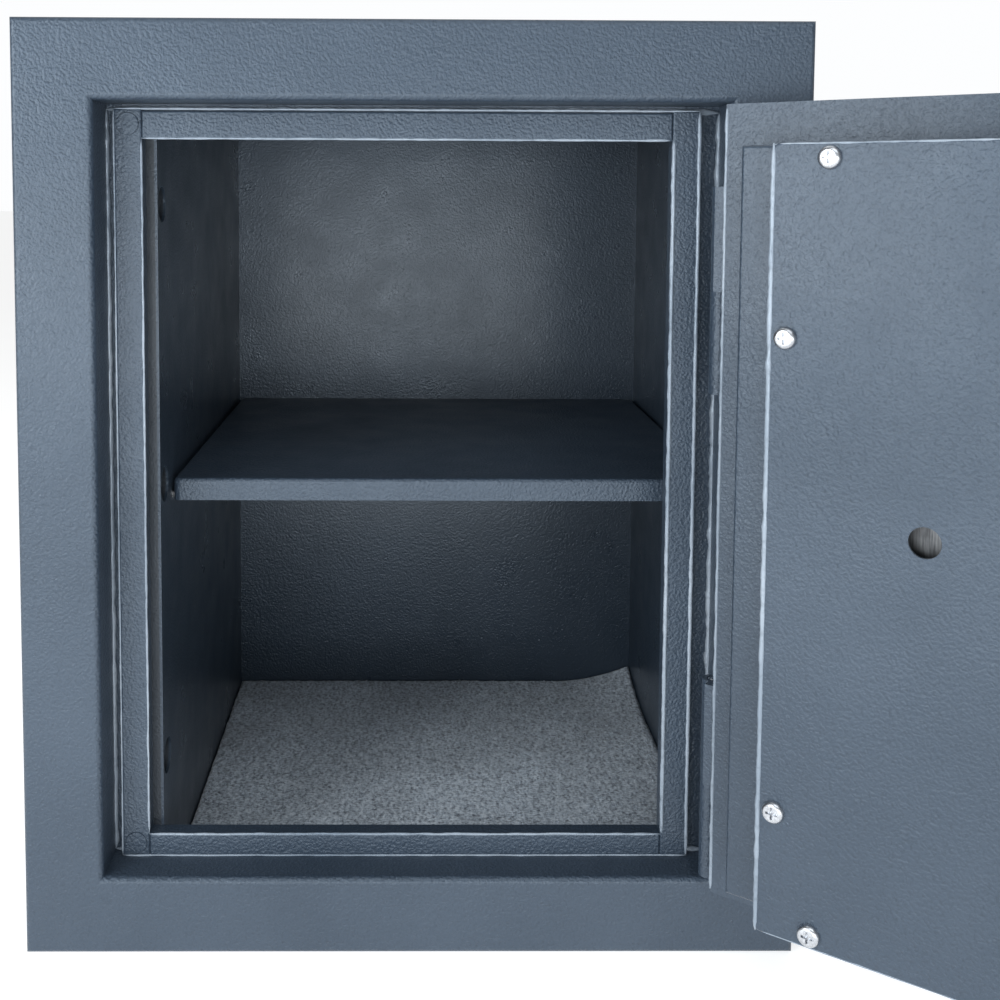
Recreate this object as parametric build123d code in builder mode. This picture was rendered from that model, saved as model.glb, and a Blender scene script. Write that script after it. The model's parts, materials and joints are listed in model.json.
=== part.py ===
"""Small steel gun safe: folded front frame, fire-boarded walls, thick recessed door with live boltwork."""
from build123d import *
import math
import os

os.makedirs("parts", exist_ok=True)

# Driving dimensions, in millimetres. X runs right, Y runs into the safe, Z runs up.
WIDTH = 415.0
HEIGHT = 500.0
DEPTH = 370.0
PLATE = 4.0
RIM = 42.0
RECESS = 30.0
RECESS_WALL = 3.0
RING = 2.0
STOP_PROUD = 8.0
STOP_FACE = 15.0
LINER = 1.5
BOARD_GAP = 0.2
JAMB_SHEET = 0.8

FRONT = -DEPTH / 2
BACK = DEPTH / 2

# Clear opening behind the door, and the lined compartment behind that.
OPEN_LEFT, OPEN_RIGHT = -145.0, 139.0
OPEN_LOW, OPEN_HIGH = 55.0, 439.0
ROOM_LEFT, ROOM_RIGHT = -139.0, 178.0
ROOM_LOW, ROOM_HIGH = 11.0, 470.0
ROOM_FRONT = FRONT + RECESS + RING
ROOM_BACK = FRONT + 337.0

CARPET_GAP = 0.3
CARPET_TOP = 15.0

SHELF_TOP = 246.6
SHELF_SHEET = 1.2
SHELF_LIP = 12.7
SHELF_FRONT = FRONT + 59.0
PEG_R = 3.0

ANCHOR_R = 6.0
ANCHOR_SPACING = 180.0

# Door hinge: the pin line stands just in front of the rim, inside the recess.
HINGE_X = 160.0
HINGE_Y = FRONT - 2.0
BARREL_R = 5.0
PIN_R = 2.5
PIN_PLAY = 0.05
KNUCKLE = 54.0
KNUCKLE_GAP = 0.2
HINGE_LOW = {"upper": 306.6, "lower": 46.0}
DOOR_REST = 145.0

# Door, measured inwards from its outer face, as it stands when shut.
SKIN = FRONT + 0.5
DOOR_LEFT, DOOR_RIGHT = -163.5, 154.0
DOOR_LOW, DOOR_HIGH = 44.0, 456.0
DOOR_PLATE = 10.0
BOX_LEFT, BOX_RIGHT = -137.5, 137.5
BOX_LOW, BOX_HIGH = 60.0, 434.0
BOX_FACE = 33.0
BOX_SHEET = 2.0
COVER_RIGHT = 115.0
COVER_FACE = 54.5
COVER_SHEET = 1.5

SCREW_R = 2.5
SCREW_HEAD_R = 5.3
SCREW_HEAD = 3.2
POST_R = 4.5
SIDE_SCREW_Z = (121.0, 345.0)
EDGE_SCREW_X = (-111.0, -11.0, 89.0)
SCREW_INSET = 7.0
SIDE_SCREW_INSET = 8.0
SCREW_PLAY = 0.2
SCREW_TIP = 6.0
POST_FLOOR = 4.0

# Boltwork: bolts, bar and link slide left together by the throw.
THROW = 18.0
BOLT_R = 9.0
BOLT_DEPTH = 43.3
BOLT_Z = {"lower": 90.0, "middle": 247.0, "upper": 404.0}
BOLT_TIP = -139.0
BAR_LEFT, BAR_RIGHT = -66.0, -58.0
LINK_LOW, LINK_HIGH = 232.0, 280.0
LINK_RIGHT = 76.0
LINK_NEAR, LINK_FAR = 42.0, 46.0
SPINDLE_X, SPINDLE_Z = -30.0, 250.0
SPINDLE_R = 6.0
CRANK_R = 24.0
CRANK_ARM = 18.0
CRANK_PIN_R = 4.0
CRANK_REST = 30.0
SLOT_PLAY = 0.3
STUD_X = (10.0, 50.0)
STUD_Z = 244.0
STUD_R = 3.0

# Key lock above the link: its bolt drops into a notch.
KEY_X, KEY_Z = 44.0, 309.0
KEY_R = 5.0
LOCK_THROW = 9.0
LOCK_LEFT, LOCK_RIGHT = 16.0, 72.0
LOCK_LOW, LOCK_HIGH = 284.0, 334.0
LOCK_TOP = 50.0
TONGUE_LEFT, TONGUE_RIGHT = 34.0, 42.0
TONGUE_LOW = LINK_HIGH + 1.5
CAM_ARM = LOCK_THROW / math.sqrt(2)
CAM_PIN_R = 1.5
HATCH_X, HATCH_Z, HATCH_R = 44.0, 260.0, 7.0

HINGE_AXIS = Axis((HINGE_X, HINGE_Y, 0), (0, 0, 1))


def upright(y):
    """Plane across the safe at depth y; sketch x and y are the safe's X and Z, extrusion runs forwards."""
    return Plane.XZ.offset(-y)


def inside(w):
    """The same plane on the shut door, w inwards from its outer face."""
    return upright(SKIN + w)


def span(x0, x1, y0, y1, z0, z1, mode=Mode.ADD):
    """A block between two corners."""
    with Locations(((x0 + x1) / 2, (y0 + y1) / 2, (z0 + z1) / 2)):
        Box(x1 - x0, y1 - y0, z1 - z0, mode=mode)


def door_span(x0, x1, w0, w1, z0, z1, mode=Mode.ADD):
    span(x0, x1, SKIN + w0, SKIN + w1, z0, z1, mode)


def patch(x0, x1, z0, z1, mode=Mode.ADD):
    """A rectangle in an upright sketch."""
    with Locations(((x0 + x1) / 2, (z0 + z1) / 2)):
        Rectangle(x1 - x0, z1 - z0, mode=mode)


def post(points, radius, w0, w1, mode=Mode.ADD):
    """Round posts or holes through the door's thickness at (X, Z) points."""
    with BuildSketch(inside(w1)) as discs:
        with Locations(*points):
            Circle(radius)
    extrude(discs.sketch, amount=w1 - w0, mode=mode)


def keep(builder, label):
    """Write a piece of the fixed body."""
    builder.part.label = label
    export_step(builder.part, f"parts/{label}.step")


def keep_on_door(builder, label):
    """Write a piece that swings with the door, opened to its rest angle."""
    opened = builder.part.rotate(HINGE_AXIS, DOOR_REST)
    opened.label = label
    export_step(opened, f"parts/{label}.step")


# ---------------------------------------------------------------- body casing

RECESS_LEFT, RECESS_RIGHT = -WIDTH / 2 + RIM, WIDTH / 2 - RIM
RECESS_LOW, RECESS_HIGH = RIM, HEIGHT - RIM
IN_LEFT, IN_RIGHT = -WIDTH / 2 + PLATE, WIDTH / 2 - PLATE
IN_LOW, IN_HIGH = PLATE, HEIGHT - PLATE
RIM_EDGE_R = 3.5
CASE_EDGE_R = 2.5


def within_casing(edge):
    """True for an edge whose middle is clear of the casing's outline."""
    centre = edge.center()
    return abs(centre.X) < IN_RIGHT and IN_LOW < centre.Z < IN_HIGH


with BuildPart() as front_frame:
    with BuildSketch(upright(FRONT + PLATE)):
        patch(-WIDTH / 2, WIDTH / 2, 0, HEIGHT)
        patch(RECESS_LEFT, RECESS_RIGHT, RECESS_LOW, RECESS_HIGH, Mode.SUBTRACT)
    extrude(amount=PLATE)
    with BuildSketch(upright(FRONT + RECESS)):
        patch(RECESS_LEFT - RECESS_WALL, RECESS_RIGHT + RECESS_WALL,
              RECESS_LOW - RECESS_WALL, RECESS_HIGH + RECESS_WALL)
        patch(RECESS_LEFT, RECESS_RIGHT, RECESS_LOW, RECESS_HIGH, Mode.SUBTRACT)
    extrude(amount=RECESS - PLATE)
    with BuildSketch(upright(FRONT + RECESS + RING)):
        patch(IN_LEFT, IN_RIGHT, IN_LOW, IN_HIGH)
        patch(OPEN_LEFT, OPEN_RIGHT, OPEN_LOW, OPEN_HIGH, Mode.SUBTRACT)
    extrude(amount=RING)
    fillet(front_frame.edges().group_by(Axis.Y)[0].filter_by(within_casing), RIM_EDGE_R)
    fillet(front_frame.edges().group_by(Axis.Y)[0].filter_by(lambda e: not within_casing(e)), CASE_EDGE_R)
keep(front_frame, "front_frame")

CASING = {
    "left_plate": (-WIDTH / 2, IN_LEFT, 0, HEIGHT),
    "right_plate": (IN_RIGHT, WIDTH / 2, 0, HEIGHT),
    "top_plate": (IN_LEFT, IN_RIGHT, IN_HIGH, HEIGHT),
}
for label, (x0, x1, z0, z1) in CASING.items():
    with BuildPart() as side:
        span(x0, x1, FRONT + PLATE, BACK - PLATE, z0, z1)
    keep(side, label)

with BuildPart() as bottom_plate:
    span(IN_LEFT, IN_RIGHT, FRONT + PLATE, BACK - PLATE, 0, PLATE)
    with GridLocations(ANCHOR_SPACING, 0, 2, 1):
        Hole(ANCHOR_R)
keep(bottom_plate, "bottom_plate")

with BuildPart() as back_plate:
    span(-WIDTH / 2, WIDTH / 2, BACK - PLATE, BACK, 0, HEIGHT)
    fillet(back_plate.edges().group_by(Axis.Y)[-1], CASE_EDGE_R)
keep(back_plate, "back_plate")

# ---------------------------------------------------------------- door stop

STOP_LOW, STOP_HIGH = RECESS_LOW + 0.5, RECESS_HIGH - 3.0
STOPS = {
    "stop_bar_left": (OPEN_LEFT - STOP_FACE, OPEN_LEFT, STOP_LOW, STOP_HIGH),
    "stop_bar_right": (OPEN_RIGHT, OPEN_RIGHT + STOP_FACE, STOP_LOW, STOP_HIGH),
    "stop_bar_top": (OPEN_LEFT, OPEN_RIGHT, OPEN_HIGH, OPEN_HIGH + STOP_FACE),
    "stop_bar_bottom": (OPEN_LEFT, OPEN_RIGHT, STOP_LOW, OPEN_LOW),
}
STOP_EDGE_R = 1.2
for label, (x0, x1, z0, z1) in STOPS.items():
    with BuildPart() as bar:
        span(x0, x1, FRONT + RECESS - STOP_PROUD, FRONT + RECESS, z0, z1)
        fillet(bar.edges().group_by(Axis.Y)[0], STOP_EDGE_R)
    keep(bar, label)

PLUG_R = 6.0
PLUG_PROUD = 0.8
PLUG_X = OPEN_LEFT - STOP_FACE / 2
PLUG_Z = (OPEN_LOW - 5.0, OPEN_HIGH + 8.0)
with BuildPart() as frame_plugs:
    with BuildSketch(upright(FRONT + RECESS - STOP_PROUD)):
        with Locations(*[(PLUG_X, z) for z in PLUG_Z]):
            Circle(PLUG_R)
    extrude(amount=PLUG_PROUD)
    fillet(frame_plugs.edges().group_by(Axis.Y)[0], PLUG_PROUD / 2)
keep(frame_plugs, "frame_plugs")

# ---------------------------------------------------------------- liner and fire board

BOLT_Y = SKIN + BOLT_DEPTH
BOLT_HOLE_R = BOLT_R + 1.0
CUP_WALL = 0.8
CUP_END = BOLT_TIP - THROW - 4.0
CUP_PLAY = 0.2

with BuildPart() as liner_left:
    span(ROOM_LEFT - LINER, ROOM_LEFT, ROOM_FRONT, ROOM_BACK, ROOM_LOW, ROOM_HIGH)
    with BuildSketch(Plane.YZ.offset(ROOM_LEFT)):
        with Locations(*[(BOLT_Y, z) for z in BOLT_Z.values()]):
            Circle(BOLT_HOLE_R)
    extrude(amount=-LINER, mode=Mode.SUBTRACT)
keep(liner_left, "liner_left")

# The left wall stands inside the opening, so a thin strip covers the board's front edge there.
with BuildPart() as jamb_strip:
    span(IN_LEFT + BOARD_GAP, ROOM_LEFT - LINER, ROOM_FRONT, ROOM_FRONT + JAMB_SHEET, ROOM_LOW, ROOM_HIGH)
keep(jamb_strip, "jamb_strip")

# Blind steel cups line the pockets that the bolts run into.
with BuildPart() as bolt_cups:
    with BuildSketch(Plane.YZ.offset(ROOM_LEFT - LINER)):
        with Locations(*[(BOLT_Y, z) for z in BOLT_Z.values()]):
            Circle(BOLT_HOLE_R + CUP_WALL)
    extrude(amount=CUP_END - CUP_WALL - ROOM_LEFT + LINER)
    with BuildSketch(Plane.YZ.offset(ROOM_LEFT - LINER)):
        with Locations(*[(BOLT_Y, z) for z in BOLT_Z.values()]):
            Circle(BOLT_HOLE_R)
    extrude(amount=CUP_END - ROOM_LEFT + LINER, mode=Mode.SUBTRACT)
keep(bolt_cups, "bolt_cups")

with BuildPart() as liner_right:
    span(ROOM_RIGHT, ROOM_RIGHT + LINER, ROOM_FRONT, ROOM_BACK, ROOM_LOW, ROOM_HIGH)
keep(liner_right, "liner_right")

with BuildPart() as liner_ceiling:
    span(ROOM_LEFT - LINER, ROOM_RIGHT + LINER, ROOM_FRONT, ROOM_BACK, ROOM_HIGH, ROOM_HIGH + LINER)
keep(liner_ceiling, "liner_ceiling")

with BuildPart() as liner_floor:
    span(ROOM_LEFT - LINER, ROOM_RIGHT + LINER, ROOM_FRONT, ROOM_BACK, ROOM_LOW - LINER, ROOM_LOW)
    with BuildSketch(Plane.XY.offset(ROOM_LOW)):
        with GridLocations(ANCHOR_SPACING, 0, 2, 1):
            Circle(ANCHOR_R)
    extrude(amount=-LINER, mode=Mode.SUBTRACT)
keep(liner_floor, "liner_floor")

with BuildPart() as liner_back:
    span(ROOM_LEFT - LINER, ROOM_RIGHT + LINER, ROOM_BACK, ROOM_BACK + LINER,
         ROOM_LOW - LINER, ROOM_HIGH + LINER)
keep(liner_back, "liner_back")

BOARD_FRONT = ROOM_FRONT + BOARD_GAP
BOARD_BACK = BACK - PLATE - BOARD_GAP
WALL_LEFT, WALL_RIGHT = ROOM_LEFT - LINER - BOARD_GAP, ROOM_RIGHT + LINER + BOARD_GAP
POCKET_END = CUP_END - CUP_WALL - CUP_PLAY

with BuildPart() as insulation_left:
    span(IN_LEFT + BOARD_GAP, WALL_LEFT, BOARD_FRONT + JAMB_SHEET, BOARD_BACK,
         IN_LOW + BOARD_GAP, IN_HIGH - BOARD_GAP)
    with BuildSketch(Plane.YZ.offset(WALL_LEFT)):
        with Locations(*[(BOLT_Y, z) for z in BOLT_Z.values()]):
            Circle(BOLT_HOLE_R + CUP_WALL + CUP_PLAY)
    extrude(amount=POCKET_END - WALL_LEFT, mode=Mode.SUBTRACT)
keep(insulation_left, "insulation_left")

with BuildPart() as insulation_right:
    span(WALL_RIGHT, IN_RIGHT - BOARD_GAP, BOARD_FRONT, BOARD_BACK, IN_LOW + BOARD_GAP, IN_HIGH - BOARD_GAP)
keep(insulation_right, "insulation_right")

with BuildPart() as insulation_top:
    span(WALL_LEFT + BOARD_GAP, WALL_RIGHT - BOARD_GAP, BOARD_FRONT, BOARD_BACK,
         ROOM_HIGH + LINER + BOARD_GAP, IN_HIGH - BOARD_GAP)
keep(insulation_top, "insulation_top")

with BuildPart() as insulation_bottom:
    span(WALL_LEFT + BOARD_GAP, WALL_RIGHT - BOARD_GAP, BOARD_FRONT, BOARD_BACK,
         IN_LOW + BOARD_GAP, ROOM_LOW - LINER - BOARD_GAP)
    with BuildSketch(Plane.XY.offset(ROOM_LOW)):
        with GridLocations(ANCHOR_SPACING, 0, 2, 1):
            Circle(ANCHOR_R)
    extrude(amount=-ROOM_LOW, mode=Mode.SUBTRACT)
keep(insulation_bottom, "insulation_bottom")

with BuildPart() as insulation_back:
    span(WALL_LEFT + BOARD_GAP, WALL_RIGHT - BOARD_GAP, ROOM_BACK + LINER + BOARD_GAP, BOARD_BACK,
         ROOM_LOW - LINER, ROOM_HIGH + LINER)
keep(insulation_back, "insulation_back")

# ---------------------------------------------------------------- carpet and shelf

with BuildPart() as carpet:
    span(ROOM_LEFT + CARPET_GAP, ROOM_RIGHT - CARPET_GAP, ROOM_FRONT + CARPET_GAP, ROOM_BACK - CARPET_GAP,
         ROOM_LOW + CARPET_GAP, CARPET_TOP)
    with BuildSketch(Plane.XY.offset(CARPET_TOP)):
        with GridLocations(ANCHOR_SPACING, 0, 2, 1):
            Circle(ANCHOR_R)
    extrude(amount=-CARPET_TOP, mode=Mode.SUBTRACT)
keep(carpet, "carpet")

SHELF_LEFT, SHELF_RIGHT = ROOM_LEFT + 1.5, ROOM_RIGHT - 1.5
SHELF_BACK = ROOM_BACK - 1.0
SHELF_CORNER_R = 4.0

with BuildPart() as shelf:
    span(SHELF_LEFT, SHELF_RIGHT, SHELF_FRONT, SHELF_BACK, SHELF_TOP - SHELF_LIP, SHELF_TOP)
    fillet(shelf.edges().filter_by(Axis.Z).group_by(Axis.Y)[0], SHELF_CORNER_R)
    fillet(shelf.edges().group_by(Axis.Z)[-1].group_by(Axis.Y)[0], 2 * SHELF_SHEET)
    offset(amount=-SHELF_SHEET, openings=shelf.faces().sort_by(Axis.Z)[0])
keep(shelf, "shelf")

PEG_Y = (FRONT + 90.0, FRONT + 300.0)
PEG_LENGTH = 9.0

with BuildPart() as shelf_pegs:
    for wall, reach in ((ROOM_LEFT, PEG_LENGTH), (ROOM_RIGHT, -PEG_LENGTH)):
        with BuildSketch(Plane.YZ.offset(wall)):
            with Locations(*[(y, SHELF_TOP - SHELF_LIP - PEG_R) for y in PEG_Y]):
                Circle(PEG_R)
        extrude(amount=reach)
keep(shelf_pegs, "shelf_pegs")

# ---------------------------------------------------------------- hinges

LEAF_FRONT, LEAF_BACK = FRONT - 3.0, FRONT + 8.0

for place, low in HINGE_LOW.items():
    middle = low + KNUCKLE
    top = low + 2 * KNUCKLE
    with BuildPart() as fixed_knuckle:
        with BuildSketch(Plane.XY.offset(low)):
            with Locations((HINGE_X, HINGE_Y)):
                Circle(BARREL_R)
            with Locations(((HINGE_X + RECESS_RIGHT) / 2, (LEAF_FRONT + LEAF_BACK) / 2)):
                Rectangle(RECESS_RIGHT - HINGE_X, LEAF_BACK - LEAF_FRONT)
            with Locations((HINGE_X, HINGE_Y)):
                Circle(PIN_R, mode=Mode.SUBTRACT)
        extrude(amount=KNUCKLE)
    keep(fixed_knuckle, f"hinge_body_{place}")

    with BuildPart() as hinge_pin:
        with BuildSketch(Plane.XY.offset(low)):
            with Locations((HINGE_X, HINGE_Y)):
                Circle(PIN_R)
        extrude(amount=2 * KNUCKLE)
        chamfer(hinge_pin.edges().group_by(Axis.Z)[-1], 0.8)
    keep(hinge_pin, f"hinge_pin_{place}")

    with BuildPart() as door_knuckle:
        with BuildSketch(Plane.XY.offset(middle + KNUCKLE_GAP)):
            with Locations((HINGE_X, HINGE_Y)):
                Circle(BARREL_R)
            with Locations(((DOOR_RIGHT + HINGE_X) / 2, (LEAF_FRONT + LEAF_BACK) / 2)):
                Rectangle(HINGE_X - DOOR_RIGHT, LEAF_BACK - LEAF_FRONT)
            with Locations((HINGE_X, HINGE_Y)):
                Circle(PIN_R + PIN_PLAY, mode=Mode.SUBTRACT)
        extrude(amount=top - middle - KNUCKLE_GAP)
    keep_on_door(door_knuckle, f"hinge_door_{place}")

# ---------------------------------------------------------------- door leaf

SPINDLE = (SPINDLE_X, SPINDLE_Z)
KEYWAY = (KEY_X, KEY_Z)
BUSH_R = 9.0
HARD_PLATE = 3.0
HARD_LEFT, HARD_RIGHT = -60.0, 84.0
HARD_LOW, HARD_HIGH = 230.0, 340.0
DOOR_EDGE_R = 2.0
SHAFT_CLEAR = 0.5

with BuildPart() as door_plate:
    door_span(DOOR_LEFT, DOOR_RIGHT, 0, DOOR_PLATE, DOOR_LOW, DOOR_HIGH)
    fillet(door_plate.edges().group_by(Axis.Y)[0], DOOR_EDGE_R)
    post([SPINDLE], BUSH_R, 0, DOOR_PLATE, Mode.SUBTRACT)
    post([KEYWAY], KEY_R + PIN_PLAY, 0, DOOR_PLATE, Mode.SUBTRACT)
keep_on_door(door_plate, "door_plate")

with BuildPart() as door_box:
    door_span(BOX_LEFT, BOX_RIGHT, DOOR_PLATE, BOX_FACE, BOX_LOW, BOX_HIGH)
    fillet(door_box.edges().group_by(Axis.Y)[-1], 0.8 * BOX_SHEET)
    door_span(BOX_LEFT + BOX_SHEET, BOX_RIGHT - BOX_SHEET, DOOR_PLATE, BOX_FACE - BOX_SHEET,
              BOX_LOW + BOX_SHEET, BOX_HIGH - BOX_SHEET, Mode.SUBTRACT)
    post([SPINDLE], SPINDLE_R + SHAFT_CLEAR, BOX_FACE - BOX_SHEET, BOX_FACE, Mode.SUBTRACT)
    post([KEYWAY], KEY_R + SHAFT_CLEAR, BOX_FACE - BOX_SHEET, BOX_FACE, Mode.SUBTRACT)
keep_on_door(door_box, "door_box")

with BuildPart() as hard_plate:
    door_span(HARD_LEFT, HARD_RIGHT, DOOR_PLATE, DOOR_PLATE + HARD_PLATE, HARD_LOW, HARD_HIGH)
    post([SPINDLE], SPINDLE_R + SHAFT_CLEAR, DOOR_PLATE, DOOR_PLATE + HARD_PLATE, Mode.SUBTRACT)
    post([KEYWAY], KEY_R + SHAFT_CLEAR, DOOR_PLATE, DOOR_PLATE + HARD_PLATE, Mode.SUBTRACT)
keep_on_door(hard_plate, "hard_plate")

BOARD_NEAR = DOOR_PLATE + HARD_PLATE + BOARD_GAP
BOARD_FAR = BOX_FACE - BOX_SHEET - BOARD_GAP
BOARD_INSET = 3.0
BOARD_BORE_R = SPINDLE_R + 2.0
with BuildPart() as door_insulation:
    door_span(BOX_LEFT + BOARD_INSET, BOX_RIGHT - BOARD_INSET, BOARD_NEAR, BOARD_FAR,
              BOX_LOW + BOARD_INSET, BOX_HIGH - BOARD_INSET)
    post([SPINDLE, KEYWAY], BOARD_BORE_R, BOARD_NEAR, BOARD_FAR, Mode.SUBTRACT)
keep_on_door(door_insulation, "door_insulation")

# ---------------------------------------------------------------- boltwork cover and its screws

EDGE_SCREWS = [(x, z) for x in EDGE_SCREW_X for z in (BOX_LOW + SCREW_INSET, BOX_HIGH - SCREW_INSET)]
SIDE_SCREW_X = (BOX_LEFT + SIDE_SCREW_INSET, COVER_RIGHT - SIDE_SCREW_INSET)
SIDE_SCREWS = [(x, z) for x in SIDE_SCREW_X for z in SIDE_SCREW_Z]
SCREWS = EDGE_SCREWS + SIDE_SCREWS
COVER_UNDER = COVER_FACE - COVER_SHEET
BOLT_CLEAR = 0.4

with BuildPart() as bolt_cover:
    door_span(BOX_LEFT, COVER_RIGHT, BOX_FACE, COVER_FACE, BOX_LOW, BOX_HIGH)
    fillet(bolt_cover.edges().filter_by(Axis.Y), 2 * COVER_SHEET)
    fillet(bolt_cover.edges().group_by(Axis.Y)[-1], 0.8 * COVER_SHEET)
    door_span(BOX_LEFT + COVER_SHEET, COVER_RIGHT - COVER_SHEET, BOX_FACE, COVER_UNDER,
              BOX_LOW + COVER_SHEET, BOX_HIGH - COVER_SHEET, Mode.SUBTRACT)
    post([(HATCH_X, HATCH_Z)], HATCH_R, COVER_UNDER, COVER_FACE, Mode.SUBTRACT)
    post(SCREWS, SCREW_R + SCREW_PLAY, COVER_UNDER, COVER_FACE, Mode.SUBTRACT)
    with BuildSketch(Plane.YZ.offset(BOX_LEFT)):
        with Locations(*[(BOLT_Y, z) for z in BOLT_Z.values()]):
            Circle(BOLT_R + BOLT_CLEAR)
    extrude(amount=2 * COVER_SHEET, mode=Mode.SUBTRACT)
keep_on_door(bolt_cover, "bolt_cover")

with BuildPart() as cover_posts:
    post(SCREWS, POST_R, BOX_FACE, COVER_UNDER)
    post(SCREWS, SCREW_R, BOX_FACE + POST_FLOOR, COVER_UNDER, Mode.SUBTRACT)
keep_on_door(cover_posts, "cover_posts")

CROSS_WIDTH = 1.2
CROSS_LENGTH = 5.6
CROSS_DEPTH = 1.8
with BuildPart() as cover_screws:
    post(SCREWS, SCREW_R, BOX_FACE + SCREW_TIP, COVER_FACE)
    post(SCREWS, SCREW_HEAD_R, COVER_FACE, COVER_FACE + SCREW_HEAD)
    fillet(cover_screws.edges().group_by(Axis.Y)[-1], SCREW_HEAD * 0.7)
    with BuildSketch(inside(COVER_FACE + SCREW_HEAD)):
        with Locations(*SCREWS):
            Rectangle(CROSS_LENGTH, CROSS_WIDTH)
            Rectangle(CROSS_WIDTH, CROSS_LENGTH)
    extrude(amount=CROSS_DEPTH, mode=Mode.SUBTRACT)
keep_on_door(cover_screws, "cover_screws")

# ---------------------------------------------------------------- live boltwork

GUIDE_LEFT = -120.0
GUIDE_SHEET = 3.0
GUIDE_INSET = 14.0
WORK_GAP = 0.5
BAR_NEAR, BAR_FAR = 36.0, 50.0
BAR_OVER = 10.0
BAR_CORNER_R = 3.0
BOLT_CHAMFER = 1.5
with BuildPart() as bolt_guide:
    door_span(GUIDE_LEFT, GUIDE_LEFT + GUIDE_SHEET, BOX_FACE, COVER_UNDER - WORK_GAP,
              BOX_LOW + GUIDE_INSET, BOX_HIGH - GUIDE_INSET)
    with BuildSketch(Plane.YZ.offset(GUIDE_LEFT)):
        with Locations(*[(BOLT_Y, z) for z in BOLT_Z.values()]):
            Circle(BOLT_R + PIN_PLAY)
    extrude(amount=GUIDE_SHEET, mode=Mode.SUBTRACT)
keep_on_door(bolt_guide, "bolt_guide")

for place, z in BOLT_Z.items():
    with BuildPart() as live_bolt:
        with BuildSketch(Plane.YZ.offset(BOLT_TIP)):
            with Locations((BOLT_Y, z)):
                Circle(BOLT_R)
        extrude(amount=BAR_LEFT - BOLT_TIP)
        chamfer(live_bolt.edges().group_by(Axis.X)[0], BOLT_CHAMFER)
    keep_on_door(live_bolt, f"bolt_{place}")

with BuildPart() as bolt_bar:
    door_span(BAR_LEFT, BAR_RIGHT, BAR_NEAR, BAR_FAR, BOLT_Z["lower"] - BAR_OVER, BOLT_Z["upper"] + BAR_OVER)
    fillet(bolt_bar.edges().filter_by(Axis.X), BAR_CORNER_R)
keep_on_door(bolt_bar, "bolt_bar")

CRANK_PIN = (SPINDLE_X + CRANK_ARM * math.sin(math.radians(CRANK_REST)),
             SPINDLE_Z + CRANK_ARM * math.cos(math.radians(CRANK_REST)))
CRANK_SLOT_END = CRANK_PIN_R + 2.0
NOTCH_PLAY = 1.0
with BuildPart() as drive_link:
    with BuildSketch(inside(LINK_FAR)):
        patch(BAR_RIGHT, LINK_RIGHT, LINK_LOW, LINK_HIGH)
        slot_half = CRANK_PIN_R + SLOT_PLAY
        patch(CRANK_PIN[0] - slot_half, CRANK_PIN[0] + slot_half,
              CRANK_PIN[1] - CRANK_SLOT_END, SPINDLE_Z + CRANK_ARM + CRANK_SLOT_END, Mode.SUBTRACT)
        for x in STUD_X:
            patch(x - STUD_R - SLOT_PLAY, x + THROW + STUD_R + SLOT_PLAY,
                  STUD_Z - STUD_R - SLOT_PLAY, STUD_Z + STUD_R + SLOT_PLAY, Mode.SUBTRACT)
        for shift in (0, THROW):
            patch(TONGUE_LEFT - NOTCH_PLAY + shift, TONGUE_RIGHT + NOTCH_PLAY + shift,
                  TONGUE_LOW - LOCK_THROW - NOTCH_PLAY, LINK_HIGH, Mode.SUBTRACT)
    extrude(amount=LINK_FAR - LINK_NEAR)
keep_on_door(drive_link, "drive_link")

STUDS = [(x, STUD_Z) for x in STUD_X]
STUD_COLLAR_R = STUD_R + 2.5
with BuildPart() as guide_studs:
    post(STUDS, STUD_R, BOX_FACE, BAR_FAR)
    post(STUDS, STUD_COLLAR_R, LINK_FAR + WORK_GAP, BAR_FAR)
    post(STUDS, STUD_COLLAR_R, BOX_FACE, LINK_NEAR - WORK_GAP)
keep_on_door(guide_studs, "guide_studs")

# ---------------------------------------------------------------- handle

HANDLE_NEAR, HANDLE_FAR = -26.0, -6.0
LEVER_LENGTH = 105.0
LEVER_REST = -60.0
LEVER_WIDTH = 18.0
LEVER_THICK = 14.0
LEVER_EDGE_R = 4.0
HUB_R = 19.0
ROSE_R, ROSE_THICK, ROSE_EDGE_R = 26.0, 5.0, 2.0
SPINDLE_END = 40.0
CRANK_NEAR = 36.0
CRANK_PIN_END = 49.0

with BuildPart() as handle_rose:
    post([SPINDLE], ROSE_R, -ROSE_THICK, 0)
    fillet(handle_rose.edges().group_by(Axis.Y)[0], ROSE_EDGE_R)
    post([SPINDLE], SPINDLE_R + SHAFT_CLEAR, -ROSE_THICK, 0, Mode.SUBTRACT)
keep_on_door(handle_rose, "handle_rose")

with BuildPart() as spindle_bush:
    post([SPINDLE], BUSH_R, 0, DOOR_PLATE)
    post([SPINDLE], SPINDLE_R + PIN_PLAY, 0, DOOR_PLATE, Mode.SUBTRACT)
keep_on_door(spindle_bush, "spindle_bush")

with BuildPart() as handle:
    post([SPINDLE], HUB_R, HANDLE_NEAR, HANDLE_FAR)
    tilt = math.radians(LEVER_REST)
    tip = (SPINDLE_X + LEVER_LENGTH * math.cos(tilt), SPINDLE_Z + LEVER_LENGTH * math.sin(tilt))
    middle = ((SPINDLE_X + tip[0]) / 2, (SPINDLE_Z + tip[1]) / 2)
    with BuildSketch(inside(HANDLE_NEAR + LEVER_THICK)):
        with Locations(Location((middle[0], middle[1]), LEVER_REST)):
            SlotCenterToCenter(LEVER_LENGTH, LEVER_WIDTH)
    extrude(amount=LEVER_THICK)
    fillet(handle.edges().group_by(Axis.Y)[0], LEVER_EDGE_R)
keep_on_door(handle, "handle")

with BuildPart() as handle_spindle:
    post([SPINDLE], SPINDLE_R, HANDLE_FAR, SPINDLE_END)
keep_on_door(handle_spindle, "handle_spindle")

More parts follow.
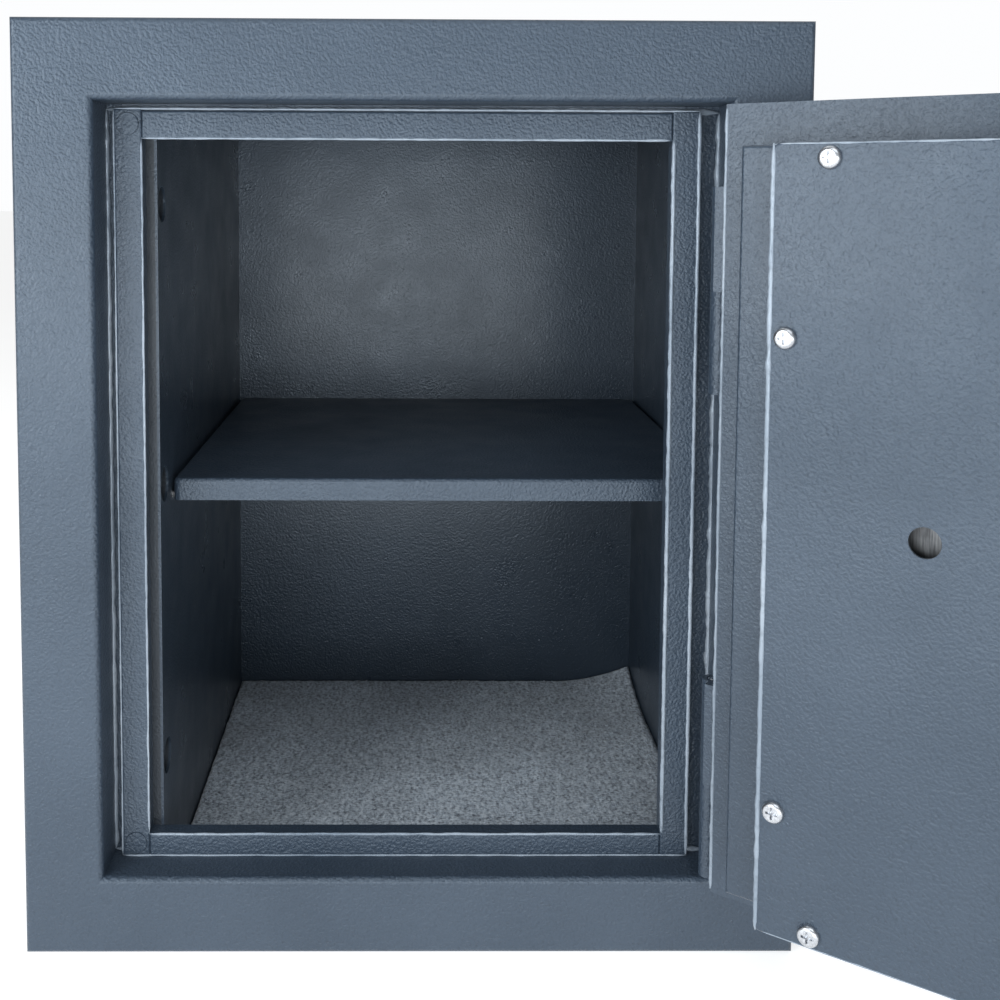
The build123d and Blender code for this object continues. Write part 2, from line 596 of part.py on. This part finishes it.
with BuildPart() as drive_crank:
    post([SPINDLE], CRANK_R, CRANK_NEAR, SPINDLE_END)
    post([CRANK_PIN], CRANK_PIN_R, SPINDLE_END, CRANK_PIN_END)
    post([SPINDLE], SPINDLE_R, CRANK_NEAR, SPINDLE_END, Mode.SUBTRACT)
keep_on_door(drive_crank, "drive_crank")

# ---------------------------------------------------------------- key lock

CAM_PIN = (KEY_X + CAM_ARM * math.sqrt(0.5), KEY_Z + CAM_ARM * math.sqrt(0.5))
CASE_WALL = 2.0
CASE_CORNER_R = 3.0
TONGUE_ROOT = KEY_Z - 8.0
BLOCK_LOW, BLOCK_HIGH = KEY_Z - 9.0, KEY_Z + 11.0
BLOCK_RIGHT = CAM_PIN[0] + 9.0
CAM_SLOT_LEFT = CAM_PIN[0] - CAM_PIN_R - 1.0
CAM_SLOT_RIGHT = CAM_PIN[0] + CAM_PIN_R + 3.0

with BuildPart() as lock_case:
    door_span(LOCK_LEFT, LOCK_RIGHT, BOX_FACE, LOCK_TOP, LOCK_LOW, LOCK_HIGH)
    fillet(lock_case.edges().filter_by(Axis.Y), CASE_CORNER_R)
    door_span(LOCK_LEFT + CASE_WALL, LOCK_RIGHT - CASE_WALL, BOX_FACE + CASE_WALL, LOCK_TOP - CASE_WALL,
              LOCK_LOW + CASE_WALL, LOCK_HIGH - CASE_WALL, Mode.SUBTRACT)
    post([KEYWAY], KEY_R + SHAFT_CLEAR, BOX_FACE, BOX_FACE + CASE_WALL, Mode.SUBTRACT)
    door_span(TONGUE_LEFT - SLOT_PLAY, TONGUE_RIGHT + SLOT_PLAY, LINK_NEAR - SLOT_PLAY, LINK_FAR + SLOT_PLAY,
              LOCK_LOW, LOCK_LOW + CASE_WALL, Mode.SUBTRACT)
keep_on_door(lock_case, "lock_case")

with BuildPart() as lock_bolt:
    with BuildSketch(inside(LINK_FAR)):
        patch(TONGUE_LEFT, TONGUE_RIGHT, TONGUE_LOW, TONGUE_ROOT)
        patch(TONGUE_LEFT, BLOCK_RIGHT, BLOCK_LOW, BLOCK_HIGH)
        patch(CAM_SLOT_LEFT, CAM_SLOT_RIGHT,
              CAM_PIN[1] - CAM_PIN_R - SLOT_PLAY, CAM_PIN[1] + CAM_PIN_R + SLOT_PLAY, Mode.SUBTRACT)
    extrude(amount=LINK_FAR - LINK_NEAR)
keep_on_door(lock_bolt, "lock_bolt")

CAM_NEAR, CAM_R = 38.3, 9.0
PLUG_FACE = -1.0
with BuildPart() as key_plug:
    post([KEYWAY], KEY_R, PLUG_FACE, CAM_NEAR)
keep_on_door(key_plug, "key_plug")

with BuildPart() as lock_cam:
    post([KEYWAY], CAM_R, CAM_NEAR, LINK_NEAR - WORK_GAP)
    post([CAM_PIN], CAM_PIN_R, LINK_NEAR - WORK_GAP, LINK_FAR + WORK_GAP)
keep_on_door(lock_cam, "lock_cam")

ESCUTCHEON_R, ESCUTCHEON_THICK, ESCUTCHEON_EDGE_R = 13.0, 2.5, 1.2
with BuildPart() as key_escutcheon:
    post([KEYWAY], ESCUTCHEON_R, -ESCUTCHEON_THICK, 0)
    fillet(key_escutcheon.edges().group_by(Axis.Y)[0], ESCUTCHEON_EDGE_R)
    post([KEYWAY], KEY_R + SHAFT_CLEAR, -ESCUTCHEON_THICK, 0, Mode.SUBTRACT)
keep_on_door(key_escutcheon, "key_escutcheon")

KEY_SHANK_R, SHANK_END = 2.5, -20.0
BOW_MIDDLE, BOW_THICK = -29.0, 3.0
BOW_LONG, BOW_WIDE, BOW_HOLE_R = 11.0, 9.0, 4.5
with BuildPart() as key:
    post([KEYWAY], KEY_SHANK_R, SHANK_END, PLUG_FACE)
    with BuildSketch(Plane.YZ.offset(KEY_X - BOW_THICK / 2)):
        with Locations((SKIN + BOW_MIDDLE, KEY_Z)):
            Ellipse(BOW_LONG, BOW_WIDE)
            Circle(BOW_HOLE_R, mode=Mode.SUBTRACT)
    extrude(amount=BOW_THICK)
keep_on_door(key, "key")
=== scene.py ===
"""Gun safe with its door open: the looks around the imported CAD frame. Lengths are in metres."""

import json
import math
import random

import bmesh
import bpy
from mathutils import Matrix, Vector, noise


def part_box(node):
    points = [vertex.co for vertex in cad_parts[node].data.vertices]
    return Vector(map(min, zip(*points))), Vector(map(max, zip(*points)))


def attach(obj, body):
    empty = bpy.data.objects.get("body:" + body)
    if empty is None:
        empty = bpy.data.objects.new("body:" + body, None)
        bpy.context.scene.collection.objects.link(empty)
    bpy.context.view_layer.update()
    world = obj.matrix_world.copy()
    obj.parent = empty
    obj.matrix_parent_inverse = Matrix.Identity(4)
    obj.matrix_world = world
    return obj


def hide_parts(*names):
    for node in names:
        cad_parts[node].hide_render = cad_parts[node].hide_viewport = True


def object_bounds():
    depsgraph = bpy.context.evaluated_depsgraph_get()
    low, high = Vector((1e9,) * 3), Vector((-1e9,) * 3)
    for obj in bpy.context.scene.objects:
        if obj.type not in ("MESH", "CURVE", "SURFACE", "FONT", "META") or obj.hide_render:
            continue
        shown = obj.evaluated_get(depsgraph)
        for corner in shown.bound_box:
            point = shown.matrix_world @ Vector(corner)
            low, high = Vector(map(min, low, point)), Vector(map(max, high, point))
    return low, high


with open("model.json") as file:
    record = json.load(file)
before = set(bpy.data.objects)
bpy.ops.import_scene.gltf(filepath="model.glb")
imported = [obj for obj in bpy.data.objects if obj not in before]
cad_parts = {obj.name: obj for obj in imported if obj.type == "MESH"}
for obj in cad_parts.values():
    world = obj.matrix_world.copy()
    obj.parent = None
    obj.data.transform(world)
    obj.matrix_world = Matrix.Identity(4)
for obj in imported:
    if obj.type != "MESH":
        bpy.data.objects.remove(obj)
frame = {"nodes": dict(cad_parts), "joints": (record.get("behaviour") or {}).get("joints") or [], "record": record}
cad_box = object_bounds()
nodes = frame["nodes"]
joints = {joint["name"]: joint for joint in frame["joints"]}


# ---------------------------------------------------------------- materials

def add(tree, kind, inputs, **settings):
    """A shader node with its settings, and each input linked or given a value."""
    made = tree.nodes.new(kind)
    for name, value in settings.items():
        setattr(made, name, value)
    for key, value in inputs.items():
        socket = made.inputs[key]
        if isinstance(value, bpy.types.NodeSocket):
            tree.links.new(value, socket)
        else:
            socket.default_value = value
    return made


def ramp(tree, factor, stops):
    """A colour that runs through the stops, each a place from 0 to 1 and a colour."""
    made = add(tree, "ShaderNodeValToRGB", {"Fac": factor})
    elements = made.color_ramp.elements
    while len(elements) < len(stops):
        elements.new(0.5)
    for element, (at, colour) in zip(elements, stops):
        element.position = at
        element.color = (*colour, 1.0)
    return made.outputs["Color"]


def blank(name):
    """A new material, its node tree, its shader and the object's own coordinates."""
    made = bpy.data.materials.new(name)
    made.use_nodes = True
    tree = made.node_tree
    place = add(tree, "ShaderNodeTexCoord", {}).outputs["Object"]
    return made, tree, tree.nodes["Principled BSDF"], place


def cloud(tree, place, size, detail):
    """Soft noise whose lumps are about size across."""
    keys = {"Vector": place, "Scale": 1 / size, "Detail": detail}
    return add(tree, "ShaderNodeTexNoise", keys).outputs["Fac"]


def spread(tree, value, low, high, start=0.3, end=0.7):
    """The value's middle stretched to run from low to high."""
    keys = {"Value": value, "From Min": start, "From Max": end, "To Min": low, "To Max": high}
    return add(tree, "ShaderNodeMapRange", keys).outputs["Result"]


def combine(tree, operation, first, second):
    """One sum or product of two values."""
    return add(tree, "ShaderNodeMath", {0: first, 1: second}, operation=operation).outputs["Value"]


def shaded(tree, amount, colour, shade):
    """The colour multiplied by the shade, as far as the amount says."""
    keys = {"Fac": amount, "Color1": colour, "Color2": shade}
    return add(tree, "ShaderNodeMixRGB", keys, blend_type="MULTIPLY").outputs["Color"]


def relief(tree, shader, height, depth, strength=1.0):
    """Bump on the shader: a height of one stands depth high."""
    keys = {"Height": height, "Distance": depth, "Strength": strength}
    bump = add(tree, "ShaderNodeBump", keys)
    tree.links.new(bump.outputs["Normal"], shader.inputs["Normal"])


def enamel(name, dark, light, grain, depth, rough):
    """Hammered enamel: rounded blisters a grain across, with finer wrinkles, painted shade in their hollows and
    broad clouding.
    """
    made, tree, shader, place = blank(name)
    wander = add(tree, "ShaderNodeTexNoise", {"Vector": place, "Scale": 0.35 / grain, "Detail": 2.0})
    bent = add(tree, "ShaderNodeVectorMath", {0: wander.outputs["Color"], 1: (grain,) * 3, 2: place},
               operation="MULTIPLY_ADD").outputs["Vector"]
    cells = add(tree, "ShaderNodeTexVoronoi", {"Vector": bent, "Scale": 1 / grain, "Smoothness": 0.9},
                feature="SMOOTH_F1").outputs["Distance"]
    wrinkle = cloud(tree, bent, size=grain * 0.8, detail=3.0)
    height = combine(tree, "ADD", combine(tree, "MULTIPLY", cells, -0.8), wrinkle)
    relief(tree, shader, height, depth)
    broad = cloud(tree, place, size=0.09, detail=4.0)
    body = ramp(tree, broad, [(0.3, dark), (0.7, light)])
    # Painted shade: the colour darkens where the wrinkles dip.
    painted_hollow_shade = ramp(tree, wrinkle, [(0.3, (0.72,) * 3), (0.5, (1.0,) * 3)])
    tree.links.new(shaded(tree, 0.7, body, painted_hollow_shade), shader.inputs["Base Color"])
    patches = cloud(tree, place, size=0.03, detail=3.0)
    tree.links.new(spread(tree, patches, low=rough - 0.05, high=rough + 0.08), shader.inputs["Roughness"])
    shader.inputs["Specular IOR Level"].default_value = 0.55
    shader.inputs["Specular Tint"].default_value = (0.78, 0.89, 1.0, 1.0)
    shader.inputs["Coat Weight"].default_value = 0.18
    shader.inputs["Coat Roughness"].default_value = 0.22
    return made


# How far a metal's streaks are drawn out along each axis; below one squeezes them.
UPRIGHT, SLIGHTLY, HALFWAY, LEVEL = (1, 1, 14), (1, 1, 2), (1, 1, 6), (1, 1, 0.1)


def metal(name, dark, light, rough, streak, direction=UPRIGHT):
    """Worked metal: fine streaks a streak across, drawn out or squeezed upright, under patchy tarnish."""
    made, tree, shader, place = blank(name)
    stretched = add(tree, "ShaderNodeMapping", {"Vector": place, "Scale": [1 / d for d in direction]})
    lines = cloud(tree, stretched.outputs["Vector"], size=streak, detail=3.0)
    patches = cloud(tree, place, size=0.012, detail=5.0)
    worked = combine(tree, "MULTIPLY", lines, 0.55)
    tarnished = combine(tree, "MULTIPLY", patches, 0.45)
    shade = combine(tree, "ADD", worked, tarnished)
    tree.links.new(ramp(tree, shade, [(0.35, dark), (0.62, light)]), shader.inputs["Base Color"])
    tree.links.new(spread(tree, shade, low=rough + 0.1, high=rough - 0.06), shader.inputs["Roughness"])
    shader.inputs["Metallic"].default_value = 1.0
    relief(tree, shader, lines, depth=0.00004, strength=0.7)
    return made


def fire_board():
    """Pressed mineral board: chalky and gritty, with pores."""
    made, tree, shader, place = blank("fire_board")
    pores = add(tree, "ShaderNodeTexVoronoi", {"Vector": place, "Scale": 420.0}).outputs["Distance"]
    grit = cloud(tree, place, size=0.0012, detail=4.0)
    shade = combine(tree, "MULTIPLY", spread(tree, pores, low=0.4, high=1.0, start=0.0, end=0.35), grit)
    colours = [(0.1, (0.42, 0.4, 0.36)), (0.5, (0.7, 0.68, 0.63)), (0.8, (0.82, 0.8, 0.76))]
    tree.links.new(ramp(tree, shade, colours), shader.inputs["Base Color"])
    shader.inputs["Roughness"].default_value = 0.92
    relief(tree, shader, shade, depth=0.0005)
    return made


def felt():
    """Needle felt: flecks of dark and pale fibre, matted and matt, with a trace of sheen."""
    made, tree, shader, place = blank("carpet_felt")

    def drawn(scale, turn):
        """The place turned and squeezed, so that noise on it draws out into strands."""
        keys = {"Vector": place, "Scale": scale, "Rotation": (0, 0, turn)}
        return add(tree, "ShaderNodeMapping", keys).outputs["Vector"]

    flecks = cloud(tree, drawn((1.0, 0.45, 1.0), turn=0.6), size=0.0017, detail=4.0)
    threads = cloud(tree, drawn((0.45, 1.0, 1.0), turn=0.4), size=0.0013, detail=3.0)
    mixed = combine(tree, "MULTIPLY", combine(tree, "ADD", flecks, threads), 0.5)
    colours = [(0.38, (0.16, 0.19, 0.235)), (0.5, (0.52, 0.60, 0.69)), (0.61, (0.84, 0.92, 1.0))]
    worn = ramp(tree, cloud(tree, place, size=0.05, detail=3.0), [(0.3, (0.8,) * 3), (0.7, (1.0,) * 3)])
    colour = shaded(tree, 1.0, ramp(tree, mixed, colours), worn)
    tree.links.new(colour, shader.inputs["Base Color"])
    shader.inputs["Roughness"].default_value = 0.95
    shader.inputs["Sheen Weight"].default_value = 0.35
    shader.inputs["Sheen Roughness"].default_value = 0.6
    relief(tree, shader, mixed, depth=0.0012)
    return made


FINISHES = {
    "hammer_enamel": enamel("hammer_enamel", dark=(0.031, 0.046, 0.068), light=(0.043, 0.061, 0.087),
                            grain=0.0016, depth=0.00046, rough=0.33),
    "inner_enamel": enamel("inner_enamel", dark=(0.022, 0.033, 0.048), light=(0.032, 0.046, 0.066),
                           grain=0.0015, depth=0.00026, rough=0.31),
    # The runs' enamel is far lighter than the casing's own enamel: painted highlight along the beads and seams.
    "highlight_painted_enamel_run": enamel("highlight_painted_enamel_run", dark=(0.16, 0.20, 0.25), light=(0.34, 0.39, 0.45),
                         grain=0.0040, depth=0.00010, rough=0.15),
    # Near black, for parts that sit in shadow: painted shade.
    "painted_shade_black": enamel("painted_shade_black", dark=(0.008, 0.010, 0.013), light=(0.016, 0.019, 0.024),
                           grain=0.0015, depth=0.00020, rough=0.5),
    "zinc": metal("zinc", dark=(0.34, 0.35, 0.37), light=(0.64, 0.66, 0.69),
                  rough=0.27, streak=0.0006, direction=SLIGHTLY),
    "bright_steel": metal("bright_steel", dark=(0.42, 0.42, 0.44), light=(0.72, 0.73, 0.75),
                          rough=0.2, streak=0.0005, direction=LEVEL),
    "plated_steel": metal("plated_steel", dark=(0.06, 0.062, 0.066), light=(0.17, 0.175, 0.18),
                          rough=0.4, streak=0.0008),
    "hard_steel": metal("hard_steel", dark=(0.05, 0.05, 0.055), light=(0.16, 0.155, 0.15),
                        rough=0.45, streak=0.001),
    "chrome": metal("chrome", dark=(0.42, 0.43, 0.45), light=(0.62, 0.63, 0.65),
                    rough=0.2, streak=0.0004, direction=HALFWAY),
    "brass": metal("brass", dark=(0.42, 0.29, 0.11), light=(0.78, 0.6, 0.3),
                   rough=0.25, streak=0.0005),
    "fire_board": fire_board(),
    "carpet": felt(),
}


def finish_frame():
    """Every CAD node gets its slot's material; then two get near-black painted shade and the shelf gets the
    lighter outer enamel as painted light.
    """
    for row in frame["record"]["subparts"]:
        part = nodes[row["node"]]
        part.data.materials.clear()
        part.data.materials.append(FINISHES[row["material_slot"]])
    # Painted shade: the jamb strip and the bolt cups are made near black where they fall dark.
    for shade_darkened_node in ("jamb_strip", "bolt_cups"):
        nodes[shade_darkened_node].data.materials[0] = FINISHES["painted_shade_black"]
    # Painted light: the shelf takes the lighter outer enamel so that its lit top and lip read brighter.
    nodes["shelf"].data.materials[0] = FINISHES["hammer_enamel"]


# ---------------------------------------------------------------- pieces

def new_piece(name, shape, slot, body, finish=None):
    """A smooth mesh object riding on a body, in its slot's material or a finish of its own."""
    mesh = bpy.data.meshes.new(name)
    bmesh.ops.recalc_face_normals(shape, faces=shape.faces)
    shape.to_mesh(mesh)
    shape.free()
    mesh.polygons.foreach_set("use_smooth", [True] * len(mesh.polygons))
    mesh.materials.append(FINISHES[finish or slot])
    piece = bpy.data.objects.new(name, mesh)
    bpy.context.scene.collection.objects.link(piece)
    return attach(piece, body)


def run(shape, start, end, radius, seed, waver):
    """One uneven, closed strand of set enamel or weld from start to end."""
    sides, step = 8, 0.0022
    coarse, fine, slow = 160, 420, 90
    blunt, taper_rings, fine_share, sway = 0.25, 3, 0.6, 0.4
    along = end - start
    count = max(3, round(along.length / step))
    forward = along.normalized()
    across = forward.orthogonal().normalized()
    up = forward.cross(across)
    rings = []
    for i in range(count + 1):
        centre = start + along * (i / count)
        lump = noise.noise(centre * coarse + Vector((seed, 0, 0))) + fine_share * noise.noise(centre * fine)
        drift = noise.noise(centre * slow + Vector((0, seed, 0)))
        taper = min(1.0, blunt + min(i, count - i) / taper_rings)
        size = radius * taper * (1 + waver * lump)
        middle = centre + (across * drift + up * lump * sway) * radius * waver
        turns = [2 * math.pi * k / sides for k in range(sides)]
        spokes = [across * math.cos(t) + up * math.sin(t) for t in turns]
        rings.append([shape.verts.new(middle + spoke * size) for spoke in spokes])
    for one, two in zip(rings, rings[1:]):
        for k in range(sides):
            n = (k + 1) % sides
            shape.faces.new((one[k], one[n], two[n], two[k]))
    shape.faces.new(rings[0][::-1])
    shape.faces.new(rings[-1])


def strands(name, body, runs):
    """Several strands of enamel as one piece, coloured far lighter than the casing as painted highlight; each run
    is start, end, radius and unevenness.
    """
    seed_step = 7.3
    shape = bmesh.new()
    for order, (start, end, radius, waver) in enumerate(runs):
        run(shape, Vector(start), Vector(end), radius, order * seed_step + len(name), waver)
    # The strands take the lightened run enamel: painted highlight.
    return new_piece(name, shape, "hammer_enamel", body, "highlight_painted_enamel_run")


def around(x0, x1, y, z0, z1, radius, waver):
    """The four runs round an upright rectangle at depth y."""
    corners = [(x0, y, z0), (x1, y, z0), (x1, y, z1), (x0, y, z1)]
    return [(corners[i], corners[(i + 1) % 4], radius, waver) for i in range(4)]


def upright(x, y, foot, head, radius, waver):
    """One run straight up at x and y."""
    return ((x, y, foot), (x, y, head), radius, waver)


# The stop bars give the opening, and the hinges stand on the recess's right wall.
stop_left, stop_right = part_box("stop_bar_left"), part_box("stop_bar_right")
stop_top, stop_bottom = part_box("stop_bar_top"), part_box("stop_bar_bottom")
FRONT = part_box("front_frame")[0].y
stop_face, ring_face = stop_left[0].y, stop_left[1].y
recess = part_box("hinge_body_upper")[1].x


def frame_strands():
    """Weld and thick enamel round the recess and the opening, with more runs down the hinge side."""
    low, high = stop_left[0].z, stop_left[1].z
    bed, inset = 0.0006, 0.0004
    strands("ring_weld", "root",
            around(-recess, recess, ring_face - bed, low, high, radius=0.0017, waver=0.4))
    strands("stop_paint_edge", "root",
            around(stop_left[0].x, stop_right[1].x, stop_face + bed, low, high, radius=0.0006, waver=0.35))
    strands("opening_paint_edge", "root",
            around(stop_left[1].x - inset, stop_right[0].x + inset, stop_face + bed,
                   stop_bottom[1].z - inset, stop_top[0].z + inset, radius=0.0007, waver=0.35))
    inner, outer = stop_right[0].x + 0.0009, stop_right[1].x - 0.0006
    face = stop_face + 0.0003
    heavy = [upright(inner, face, stop_bottom[1].z, stop_top[0].z, radius=0.0010, waver=0.3),
             upright(outer, face, low, high, radius=0.0011, waver=0.3)]
    # The rim's own edge is clear only between the hinges.
    clear = [low]
    for place in ("lower", "upper"):
        clear += [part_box(f"hinge_body_{place}")[0].z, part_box(f"hinge_door_{place}")[1].z]
    clear.append(high)
    edge_x, edge_y = recess + 0.0004, FRONT + 0.0022
    for foot, head in zip(clear[::2], clear[1::2]):
        heavy.append(upright(edge_x, edge_y, foot, head, radius=0.0013, waver=0.35))
    strands("hinge_side_runs", "root", heavy)


def back_strands():
    """The casing's rear seams, where its other plates are welded to the back plate."""
    low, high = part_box("back_plate")
    seam, foot = high.y - 0.0030, low.z + 0.001
    strands("rear_weld", "root",
            around(low.x, high.x, seam, foot, high.z, radius=0.0010, waver=0.45))


# The door is packed open; these give its places as if it were shut.
hinge = joints["door_hinge"]
hinge_at = Vector(hinge["pos_m"])
OPENED = math.radians(-hinge["range_deg"][0])
to_rest = Matrix.Translation(hinge_at) @ Matrix.Rotation(OPENED, 4, "Z") @ Matrix.Translation(-hinge_at)
to_shut = to_rest.inverted()


def shut_box(node):
    """A door node's lowest and highest corners with the door shut."""
    points = [to_shut @ vertex.co for vertex in nodes[node].data.vertices]
    low = Vector([min(p[i] for p in points) for i in range(3)])
    high = Vector([max(p[i] for p in points) for i in range(3)])
    return low, high


def opened(runs):
    """The same runs, carried round with the door to its rest place."""
    return [(to_rest @ Vector(a), to_rest @ Vector(b), radius, waver) for a, b, radius, waver in runs]


def door_strands():
    """Enamel on the bolt cover's folds and the door plate's edge, and the weld between box and plate."""
    low, high = shut_box("bolt_cover")
    bed = 0.0006
    face = high.y - bed
    folds = around(low.x + bed, high.x - bed, face, low.z + bed, high.z - bed,
                   radius=0.0006, waver=0.25)
    folds.append(upright(high.x - 0.0004, face, low.z, high.z, radius=0.0013, waver=0.28))
    strands("cover_fold_paint", "door", opened(folds))
    box_low, box_high = shut_box("door_box")
    plate_low, plate_high = shut_box("door_plate")
    plate_inner = plate_high.y
    seam = around(box_low.x, box_high.x, plate_inner, box_low.z, box_high.z,
                  radius=0.0012, waver=0.4)
    strands("door_box_weld", "door", opened(seam))
    x, y = plate_high.x - 0.0003, plate_inner - 0.0005
    edge = upright(x, y, plate_low.z, plate_high.z, radius=0.0010, waver=0.3)
    strands("door_plate_edge", "door", opened([edge]))


def carpet():
    """The cut felt mat, its back right corner curling up, with loose fibres on its face."""
    low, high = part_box("carpet")
    pitch = 0.0026
    wide, deep = high.x - low.x, high.y - low.y
    across, back = round(wide / pitch), round(deep / pitch)
    middle = (low.x + high.x) / 2
    curl, reach, edge = 0.013, 0.062, 0.003
    swell, swells, frays, naps = 0.0009, 14, 120, 330
    rough, bed, face_drop, rounding = 0.0004, 0.0002, 0.0006, 0.0011
    seed, count, sunk = 11, 9000, 0.0007

    def lift(x, y):
        """How far the mat stands off the floor: its curled corner and slight ripples."""
        near = max(0.0, 1 - math.hypot(high.x - x, (high.y - y) * 0.8) / reach)
        ripple = swell * noise.noise(Vector((x * swells, y * swells, 3.1)))
        return curl * near * near + max(0.0, ripple)

    shape = bmesh.new()
    layers = []
    for upper in (False, True):
        grid = []
        for j in range(back + 1):
            row = []
            for i in range(across + 1):
                x, y = low.x + wide * i / across, low.y + deep * j / back
                rim = min(x - low.x, high.x - x, y - low.y, high.y - y)
                fuzz = noise.noise(Vector((x * naps, y * naps, 0.5))) * rough
                ragged = noise.noise(Vector((x * frays, y * frays, 9.0))) * rough
                if rim < pitch / 2:
                    x += (ragged - rough) * (1 if x > middle else -1)
                round_off = rounding * max(0.0, 1 - rim / edge) ** 2
                z = high.z - face_drop + fuzz - round_off if upper else low.z + bed
                row.append(shape.verts.new((x, y, z + lift(x, y))))
            grid.append(row)
        layers.append(grid)
    for grid in layers:
        for j in range(back):
            for i in range(across):
                shape.faces.new((grid[j][i], grid[j][i + 1], grid[j + 1][i + 1], grid[j + 1][i]))
    loop = ([(0, i) for i in range(across)] + [(j, across) for j in range(back)]
            + [(back, i) for i in range(across, 0, -1)] + [(j, 0) for j in range(back, 0, -1)])
    for (j, i), (m, n) in zip(loop, loop[1:] + loop[:1]):
        shape.faces.new((layers[0][j][i], layers[0][m][n], layers[1][m][n], layers[1][j][i]))
    mat = new_piece("carpet_mat", shape, "carpet", "root")
    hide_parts("carpet")

    picks = random.Random(seed)
    shape = bmesh.new()
    for _ in range(count):
        x = picks.uniform(low.x + edge, high.x - edge)
        y = picks.uniform(low.y + edge, high.y - edge)
        turn = picks.uniform(0, 2 * math.pi)
        half = Vector((math.cos(turn), math.sin(turn), 0)) * picks.uniform(0.0008, 0.0021)
        side = Vector((-math.sin(turn), math.cos(turn), 0)) * picks.uniform(0.00012, 0.0002)
        base = Vector((x, y, high.z - sunk + lift(x, y)))
        ridge = Vector((0, 0, picks.uniform(0.0005, 0.0012)))
        tail, head = shape.verts.new(base - half), shape.verts.new(base + half + ridge * 0.4)
        ring = [shape.verts.new(base + side + ridge * 0.5), shape.verts.new(base - side + ridge * 0.5),
                shape.verts.new(base + ridge)]
        for k in range(3):
            shape.faces.new((tail, ring[k], ring[(k + 1) % 3]))
            shape.faces.new((head, ring[(k + 1) % 3], ring[k]))
    fibres = new_piece("carpet_fibres", shape, "carpet", "root")


# ---------------------------------------------------------------- room, lights and camera

def floor():
    """A plain pale studio floor with a steady glow of its own."""
    made, tree, shader, place = blank("studio_floor")
    tone = cloud(tree, place, size=0.4, detail=3.0)
    tree.links.new(ramp(tree, tone, [(0.3, (0.86,) * 3), (0.7, (0.9,) * 3)]), shader.inputs["Base Color"])
    shader.inputs["Roughness"].default_value = 0.7
    shader.inputs["Emission Color"].default_value = (1.0, 1.0, 1.0, 1.0)
    shader.inputs["Emission Strength"].default_value = 0.66
    made.cycles.emission_sampling = "NONE"
    reach, drop = 30.0, 0.0004
    shape = bmesh.new()
    bmesh.ops.create_grid(shape, x_segments=8, y_segments=8, size=reach)
    mesh = bpy.data.meshes.new("floor")
    shape.to_mesh(mesh)
    shape.free()
    mesh.materials.append(made)
    piece = bpy.data.objects.new("floor", mesh)
    piece.location.z = cad_box[0].z - drop
    bpy.context.scene.collection.objects.link(piece)


def softbox(name, at, target, size, power):
    """A slightly cool rectangular area light that faces its target."""
    light = bpy.data.lights.new(name, "AREA")
    light.shape = "RECTANGLE"
    light.size, light.size_y = size
    light.energy = power
    light.color = (0.92, 0.965, 1.0)
    lamp = bpy.data.objects.new(name, light)
    lamp.location = at
    lamp.rotation_euler = (Vector(target) - Vector(at)).to_track_quat("-Z", "Y").to_euler()
    bpy.context.scene.collection.objects.link(lamp)


def room():
    """Soft light: a near key on the left, a low front box, two boxes above and a pale surround."""
    middle = (cad_box[0] + cad_box[1]) / 2
    compartment = (0.05, 0.15, 0.25)
    softbox("key", at=(-0.95, -1.05, 0.55), target=middle, size=(0.6, 0.7), power=10.5)
    softbox("front_low", at=(0.05, -1.75, 0.25), target=compartment, size=(1.9, 0.42), power=13)
    softbox("top", at=(0.15, -1.15, 1.4), target=middle, size=(1.2, 0.8), power=7)
    softbox("overhead", at=(0.1, 0.3, 2.2), target=middle, size=(1.8, 1.4), power=7)
    world = bpy.data.worlds.new("surround")
    bpy.context.scene.world = world
    world.use_nodes = True
    tree = world.node_tree
    seen = add(tree, "ShaderNodeLightPath", {}).outputs["Is Camera Ray"]
    backdrop, surround = 1.0, 0.28
    keys = {"Value": seen, "To Min": surround, "To Max": backdrop}
    level = add(tree, "ShaderNodeMapRange", keys).outputs["Result"]
    tree.links.new(level, tree.nodes["Background"].inputs["Strength"])
    tree.nodes["Background"].inputs["Color"].default_value = (0.98, 0.99, 1.0, 1.0)


def camera():
    """The photograph's viewing angle: close in front of the casing's centre line, above its middle."""
    eye = Vector((0.0005, -0.8129, 0.4087))
    pitch, roll, yaw = (math.radians(angle) for angle in (-3.98, -0.26, -0.48))
    seen = bpy.data.cameras.new("camera")
    seen.lens = 43.52
    seen.sensor_width = 36.0
    seen.shift_x, seen.shift_y = 0.0758, -0.2190
    seen.clip_start = 0.01
    placed = bpy.data.objects.new("camera", seen)
    turn = Matrix.Rotation(yaw, 4, "Z") @ Matrix.Rotation(roll, 4, "Y") @ Matrix.Rotation(pitch, 4, "X")
    placed.matrix_world = Matrix.Translation(eye) @ turn @ Matrix.Rotation(math.radians(90), 4, "X")
    bpy.context.scene.collection.objects.link(placed)
    bpy.context.scene.camera = placed
    bpy.context.scene.view_settings.view_transform = "Standard"


finish_frame()
frame_strands()
back_strands()
door_strands()
carpet()
floor()
room()
camera()
